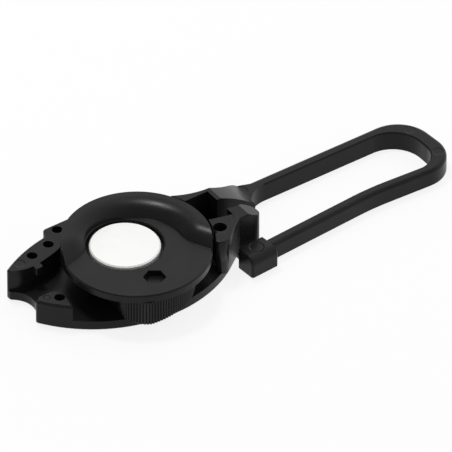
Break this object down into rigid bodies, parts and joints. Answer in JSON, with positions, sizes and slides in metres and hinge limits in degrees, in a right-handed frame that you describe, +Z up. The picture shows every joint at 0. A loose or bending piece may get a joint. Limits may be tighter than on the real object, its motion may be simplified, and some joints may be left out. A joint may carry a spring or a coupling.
{
  "type": "drop cable clamp",
  "caption": "Moulded drop cable clamp: leaf-shaped body with a long bail, a ridged cam wheel that turns to grip the cable, and a white pivot cap.",
  "frame": {"origin": "where the wheel's pivot axis meets the flat underside", "axes": "+X along the bail, +Y to the tall back wall, +Z up along the pivot axis"},
  "size_m": [0.147, 0.0505, 0.0185],
  "materials": {
    "black_nylon": "satin, as moulded",
    "white_plastic": "smooth, as moulded"
  },
  "bodies": {
    "body": {"clamp_body": "black_nylon", "pivot_cap": "white_plastic"},
    "wheel": {"cam_wheel": "black_nylon"}
  },
  "joints": [
    {"name": "wheel_turn", "type": "hinge", "parent": "body", "child": "wheel", "pos_m": [0, 0, 0.008], "axis": [0, 0, 1], "range_deg": [0, 50]}
  ]
}
